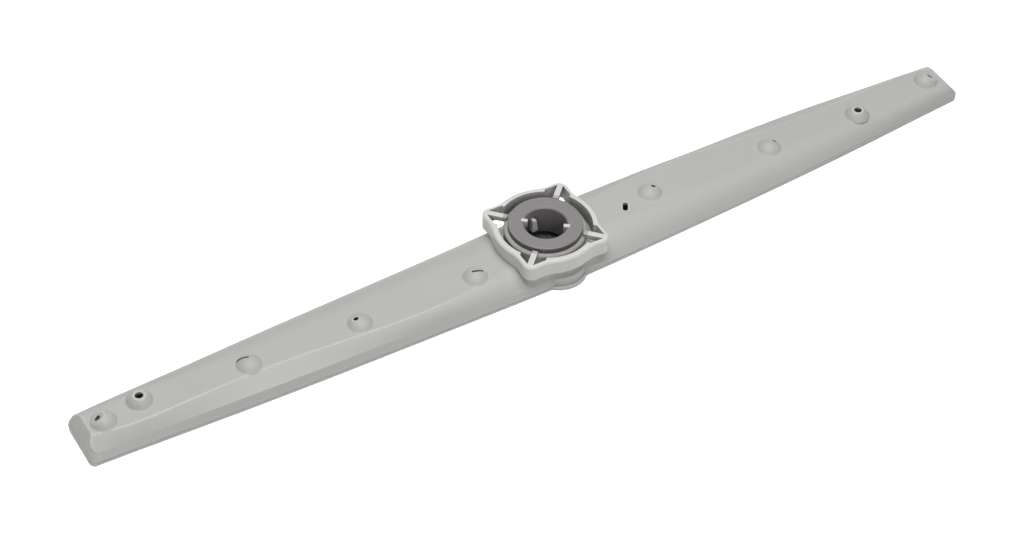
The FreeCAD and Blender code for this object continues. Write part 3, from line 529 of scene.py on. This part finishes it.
@dataclass
class WeldedArm:
    """The two shells of the arm, with the flash that the hot plate pressed out of their seam.

    The flash is a fine uneven bead. It lies in the groove under the upper shell's foot.

    Attributes:
        finish: Plastic of the upper shell and of the flash.
        lower_shell_finish: Plastic of the lower shell.
        seam_mm: Height of the seam.
        flash_radius_mm: Radius of the bead.
        flash_sides: Sides of the bead's section.
        flash_inset_mm: How far inside the upper shell's foot the bead lies.
        flash_drop_mm: How far below that foot it lies.
        flash_step_mm: Distance between its points.
        flash_wander_mm: How far each point strays.
        tolerance_mm: How far apart two points or heights still count as one.
        least_fold: Angle, in radians, from which an edge of the foot counts as an outer corner.
        longest_share: Share of the longest line's length that a line needs to be kept.
        seed: Seed of the wander.
    """

    finish: MouldedPlastic
    lower_shell_finish: MouldedPlastic
    seam_mm: float = 1.6
    flash_radius_mm: float = 0.14
    flash_sides: int = 6
    flash_inset_mm: float = 0.2
    flash_drop_mm: float = 0.1
    flash_step_mm: float = 1.5
    flash_wander_mm: float = 0.04
    tolerance_mm: float = 0.001
    least_fold: float = 0.1
    longest_share: float = 0.99
    seed: int = 7

    def flash_inputs(self, finish: bpy.types.Material) -> dict[str, tuple[str, object]]:
        """List the named inputs of the flash's node tree.

        Args:
            finish: Material of the flash.

        Returns:
            Socket type and value of each input.
        """
        return {
            "Seam Height": ("NodeSocketFloat", self.seam_mm * MM),
            "Radius": ("NodeSocketFloat", self.flash_radius_mm * MM),
            "Inset": ("NodeSocketFloat", -self.flash_inset_mm * MM),
            "Drop": ("NodeSocketVector", (0.0, 0.0, -self.flash_drop_mm * MM)),
            "Step": ("NodeSocketFloat", self.flash_step_mm * MM),
            "Wander": ("NodeSocketFloat", self.flash_wander_mm * MM),
            "Seed": ("NodeSocketInt", self.seed),
            "Finish": ("NodeSocketMaterial", finish),
        }

    def seam_line(self, tree: Tree, inputs: bpy.types.NodeOutputs) -> Socket:
        """Add the nodes that find the outer foot of the upper shell.

        Every outward edge at the height of the seam becomes a curve, and the longest one is kept.

        Args:
            tree: The node tree.
            inputs: Sockets of the tree's own inputs.

        Returns:
            The curve.
        """
        joined = add_node(
            tree,
            "GeometryNodeMergeByDistance",
            {"Geometry": inputs["Geometry"], "Distance": self.tolerance_mm * MM},
        )
        place = add_node(tree, "GeometryNodeInputPosition").outputs["Position"]
        height = add_node(tree, "ShaderNodeSeparateXYZ", {"Vector": place}).outputs["Z"]
        level = add_node(
            tree,
            "FunctionNodeCompare",
            {0: height, 1: inputs["Seam Height"], "Epsilon": self.tolerance_mm * MM},
            data_type="FLOAT",
            operation="EQUAL",
        )
        fold = add_node(tree, "GeometryNodeInputMeshEdgeAngle").outputs["Signed Angle"]
        outward = add_node(
            tree, "FunctionNodeCompare", {0: fold, 1: self.least_fold}, operation="GREATER_THAN"
        )
        both = add_node(
            tree, "FunctionNodeBooleanMath", {0: level.outputs[0], 1: outward.outputs[0]}
        )
        edges = add_node(
            tree,
            "GeometryNodeMeshToCurve",
            {"Mesh": joined.outputs[0], "Selection": both.outputs[0]},
        )
        length = add_node(tree, "GeometryNodeSplineLength").outputs["Length"]
        longest = add_node(
            tree,
            "GeometryNodeAttributeStatistic",
            {"Geometry": edges.outputs[0], "Attribute": length},
            domain="CURVE",
        )
        least = add_node(
            tree,
            "ShaderNodeMath",
            {0: longest.outputs["Max"], 1: self.longest_share},
            operation="MULTIPLY",
        )
        shorter = add_node(
            tree, "FunctionNodeCompare", {0: length, 1: least.outputs[0]}, operation="LESS_THAN"
        )
        line = add_node(
            tree,
            "GeometryNodeDeleteGeometry",
            {"Geometry": edges.outputs[0], "Selection": shorter.outputs[0]},
            domain="CURVE",
        )
        return line.outputs[0]

    def uneven_line(self, tree: Tree, inputs: bpy.types.NodeOutputs, line: Socket) -> Socket:
        """Add the nodes that move a curve into the groove and make it wander.

        Args:
            tree: The node tree.
            inputs: Sockets of the tree's own inputs.
            line: The curve along the seam.

        Returns:
            The moved curve.
        """
        steps = add_node(
            tree,
            "GeometryNodeResampleCurve",
            {"Curve": line, "Length": inputs["Step"]},
            mode="LENGTH",
        )
        place = add_node(tree, "GeometryNodeInputPosition").outputs["Position"]
        along = add_node(tree, "GeometryNodeInputTangent").outputs["Tangent"]
        across = add_node(
            tree, "ShaderNodeVectorMath", {0: along, 1: (0, 0, 1)}, operation="CROSS_PRODUCT"
        )
        away = add_node(
            tree, "ShaderNodeVectorMath", {0: across.outputs[0], 1: place}, operation="DOT_PRODUCT"
        )
        side = add_node(tree, "ShaderNodeMath", {0: away.outputs["Value"]}, operation="SIGN")
        reach = add_node(
            tree, "ShaderNodeMath", {0: side.outputs[0], 1: inputs["Inset"]}, operation="MULTIPLY"
        )
        inward = add_node(
            tree,
            "ShaderNodeVectorMath",
            {0: across.outputs[0], "Scale": reach.outputs[0]},
            operation="SCALE",
        )
        least = add_node(
            tree, "ShaderNodeMath", {0: inputs["Wander"], 1: -1.0}, operation="MULTIPLY"
        )
        wander = add_node(
            tree,
            "FunctionNodeRandomValue",
            {0: least.outputs[0], 1: inputs["Wander"], "Seed": inputs["Seed"]},
            data_type="FLOAT_VECTOR",
        )
        sunk = add_node(
            tree, "ShaderNodeVectorMath", {0: inward.outputs[0], 1: inputs["Drop"]}, operation="ADD"
        )
        shift = add_node(
            tree,
            "ShaderNodeVectorMath",
            {0: sunk.outputs[0], 1: wander.outputs[0]},
            operation="ADD",
        )
        moved = add_node(
            tree,
            "GeometryNodeSetPosition",
            {"Geometry": steps.outputs[0], "Offset": shift.outputs[0]},
        )
        return moved.outputs[0]

    def flash_tree(self, kinds: dict[str, tuple[str, object]]) -> Tree:
        """Build the node tree that lays the flash along the seam of a shell.

        Args:
            kinds: Socket type and value of each input.

        Returns:
            The node tree.
        """
        tree = bpy.data.node_groups.new("weld_flash", "GeometryNodeTree")
        tree.interface.new_socket("Geometry", in_out="INPUT", socket_type="NodeSocketGeometry")
        for name, (kind, _value) in kinds.items():
            tree.interface.new_socket(name, in_out="INPUT", socket_type=kind)
        tree.interface.new_socket("Geometry", in_out="OUTPUT", socket_type="NodeSocketGeometry")
        inputs = add_node(tree, "NodeGroupInput").outputs
        line = self.uneven_line(tree, inputs, self.seam_line(tree, inputs))
        ring = add_node(
            tree,
            "GeometryNodeCurvePrimitiveCircle",
            {"Resolution": self.flash_sides, "Radius": inputs["Radius"]},
        )
        bead = add_node(
            tree, "GeometryNodeCurveToMesh", {"Curve": line, "Profile Curve": ring.outputs[0]}
        )
        plain = add_node(tree, "GeometryNodeRealizeInstances", {"Geometry": bead.outputs[0]})
        dressed = add_node(
            tree,
            "GeometryNodeSetMaterial",
            {"Geometry": plain.outputs[0], "Material": inputs["Finish"]},
        )
        add_node(tree, "NodeGroupOutput", {"Geometry": dressed.outputs[0]})
        return tree

    def lay_flash(self, shell: bpy.types.Object, finish: bpy.types.Material) -> bpy.types.Object:
        """Lay the flash along the seam and turn it into a plain mesh.

        Args:
            shell: The upper shell.
            finish: Material of the flash.

        Returns:
            The flash.
        """
        flash = bpy.data.objects.new("weld_flash", shell.data.copy())
        bpy.context.scene.collection.objects.link(flash)
        kinds = self.flash_inputs(finish)
        modifier = flash.modifiers.new("weld_flash", "NODES")
        modifier.node_group = self.flash_tree(kinds)
        for item in modifier.node_group.interface.items_tree:
            if item.name in kinds:
                modifier[item.identifier] = kinds[item.name][1]
        graph = bpy.context.evaluated_depsgraph_get()
        mesh = bpy.data.meshes.new_from_object(flash.evaluated_get(graph))
        flash.modifiers.remove(modifier)
        flash.data = mesh
        mesh.shade_smooth()
        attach(flash, Body.ARM.value)
        LOG.info("weld_flash has %d faces", len(mesh.polygons))
        return flash

    def build(self) -> None:
        """Dress the shells and lay the flash between them."""
        material = self.finish.build()
        shell = wear("upper_shell", material)
        wear("lower_shell", self.lower_shell_finish.build())
        self.lay_flash(shell, material)


@dataclass
class InletHub:
    """The hub that the arm turns on: the lobed collar and the dark ring round the inlet.

    Attributes:
        collar_finish: Plastic of the collar.
        ring_finish: Plastic of the ring.
    """

    collar_finish: MouldedPlastic
    ring_finish: MouldedPlastic

    def build(self) -> None:
        """Dress the collar and the ring."""
        wear("hub_collar", self.collar_finish.build())
        wear("bearing_ring", self.ring_finish.build())


@dataclass
class PhotoCamera:
    """Camera at the viewing angle of the photograph.

    Attributes:
        azimuth: Turn round the hub axis, in radians.
        elevation: Angle above the floor, in radians.
        roll: Turn round the line of sight, in radians.
        distance: Distance from the target.
        target: The point in the middle of the view.
        lens_mm: Focal length.
        sensor_mm: Width of the sensor.
        clip_end: How far the camera sees.
    """

    azimuth: float = math.radians(-31.566)
    elevation: float = math.radians(44.546)
    roll: float = math.radians(2.2395)
    distance: float = 1.244879
    target: Vector = field(default_factory=lambda: Vector((-0.01861, -0.00070, -0.000504)))
    lens_mm: float = 89.488
    sensor_mm: float = 36.0
    clip_end: float = 20.0

    def build(self) -> bpy.types.Object:
        """Place the camera and make it the scene's camera.

        Returns:
            The camera object.
        """
        level = math.cos(self.elevation)
        back = Vector((
            math.sin(self.azimuth) * level,
            -math.cos(self.azimuth) * level,
            math.sin(self.elevation),
        ))
        right = Vector((math.cos(self.azimuth), math.sin(self.azimuth), 0.0))
        up = back.cross(right)
        turned_right = right * math.cos(self.roll) + up * math.sin(self.roll)
        turned_up = up * math.cos(self.roll) - right * math.sin(self.roll)
        data = bpy.data.cameras.new("photo_camera")
        data.lens = self.lens_mm
        data.sensor_width = self.sensor_mm
        data.clip_end = self.clip_end
        camera = bpy.data.objects.new("photo_camera", data)
        turn = Matrix((turned_right, turned_up, back)).transposed().to_4x4()
        camera.matrix_world = Matrix.Translation(self.target + back * self.distance) @ turn
        bpy.context.scene.collection.objects.link(camera)
        bpy.context.scene.camera = camera
        return camera


@dataclass(frozen=True)
class SoftLamp:
    """Square soft box.

    Attributes:
        name: Name of the lamp.
        place: Where it hangs.
        side: Length of its side.
        watts: Its power.
    """

    name: str
    place: Point
    side: float
    watts: float

    def hang(self, aim: Point) -> bpy.types.Object:
        """Hang the lamp so that it faces a point.

        Args:
            aim: The point.

        Returns:
            The lamp object.
        """
        data = bpy.data.lights.new(self.name, "AREA")
        data.shape = "SQUARE"
        data.size = self.side
        data.energy = self.watts
        lamp = bpy.data.objects.new(self.name, data)
        lamp.location = self.place
        facing = Vector(self.place) - Vector(aim)
        lamp.rotation_euler = facing.to_track_quat("Z", "Y").to_euler()
        bpy.context.scene.collection.objects.link(lamp)
        return lamp


@dataclass
class Studio:
    """Pale floor, soft lamps and a plain white world.

    Attributes:
        floor_side: Length of the floor's side.
        floor_drop: How far the floor lies below the arm, so that the two never share a plane.
        floor_colour: Colour that the floor throws back onto the arm.
        floor_glow: Light added to the floor for the camera and for reflections, where it then
            reads white and still holds the arm's shadow.
        world_strength: Light of the world on the arm, where 1 is white.
        aim: The point that the lamps face.
        lamps: The lamps.
    """

    floor_side: float = 6.0
    floor_drop: float = 0.0003
    floor_colour: str = "#D2D2D2"
    floor_glow: float = 0.9
    world_strength: float = 0.22
    aim: Point = (0.0, 0.0, 0.01)
    lamps: tuple[SoftLamp, ...] = (
        SoftLamp("top_lamp", (0.0, 0.1, 1.5), 1.2, 19.4),
        SoftLamp("front_lamp", (-0.3, -1.2, 0.9), 0.8, 4.9),
    )

    def floor_material(self) -> bpy.types.Material:
        """Build the finish of matt sweep paper: no gloss, and white where the camera sees it.

        Returns:
            The finished material.
        """
        material = bpy.data.materials.new("white_sweep_paper")
        material.use_nodes = True
        tree = material.node_tree
        tree.nodes.clear()
        matt = add_node(tree, "ShaderNodeBsdfDiffuse", {"Color": linear(self.floor_colour)})
        glow = add_node(tree, "ShaderNodeEmission", {"Color": WHITE, "Strength": self.floor_glow})
        rays = add_node(tree, "ShaderNodeLightPath").outputs
        seen = rays["Is Camera Ray"]
        for ray in ("Is Glossy Ray", "Is Transmission Ray"):
            seen = add_node(
                tree, "ShaderNodeMath", {0: seen, 1: rays[ray]}, operation="MAXIMUM"
            ).outputs[0]
        both = add_node(tree, "ShaderNodeAddShader", {0: matt.outputs[0], 1: glow.outputs[0]})
        mix = add_node(
            tree, "ShaderNodeMixShader", {0: seen, 1: matt.outputs[0], 2: both.outputs[0]}
        )
        add_node(tree, "ShaderNodeOutputMaterial", {"Surface": mix.outputs[0]})
        return material

    def build_floor(self) -> bpy.types.Object:
        """Lay the floor under the arm.

        Returns:
            The floor object.
        """
        half = self.floor_side / 2
        corners = [(-half, -half, 0), (half, -half, 0), (half, half, 0), (-half, half, 0)]
        mesh = bpy.data.meshes.new("floor")
        mesh.from_pydata(corners, [], [(0, 1, 2, 3)])
        mesh.materials.append(self.floor_material())
        floor = bpy.data.objects.new("floor", mesh)
        floor.location.z = -self.floor_drop
        bpy.context.scene.collection.objects.link(floor)
        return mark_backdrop(floor)

    def build_world(self) -> None:
        """Set up the world: a soft light on the arm, and plain white behind it."""
        world = bpy.data.worlds.new("studio_world")
        world.use_nodes = True
        bpy.context.scene.world = world
        tree = world.node_tree
        tree.nodes.clear()
        rays = add_node(tree, "ShaderNodeLightPath").outputs
        soft = add_node(
            tree, "ShaderNodeBackground", {"Color": WHITE, "Strength": self.world_strength}
        )
        white = add_node(tree, "ShaderNodeBackground", {"Color": WHITE, "Strength": 1.0})
        mix = add_node(
            tree,
            "ShaderNodeMixShader",
            {0: rays["Is Camera Ray"], 1: soft.outputs[0], 2: white.outputs[0]},
        )
        add_node(tree, "ShaderNodeOutputWorld", {"Surface": mix.outputs[0]})

    def build(self) -> None:
        """Set up the world, the floor and the lamps."""
        self.build_world()
        self.build_floor()
        for lamp in self.lamps:
            lamp.hang(self.aim)


def main() -> None:
    """Build the camera, the studio, the arm and the hub."""
    logging.basicConfig(level=logging.INFO, format="%(message)s")
    scene = bpy.context.scene
    scene.view_settings.view_transform = "Standard"
    PhotoCamera().build()
    Studio().build()
    WeldedArm(ARM_PLASTIC, LOWER_SHELL_PLASTIC).build()
    InletHub(HUB_PLASTIC, BEARING_PLASTIC).build()


if __name__ == "__main__":
    main()
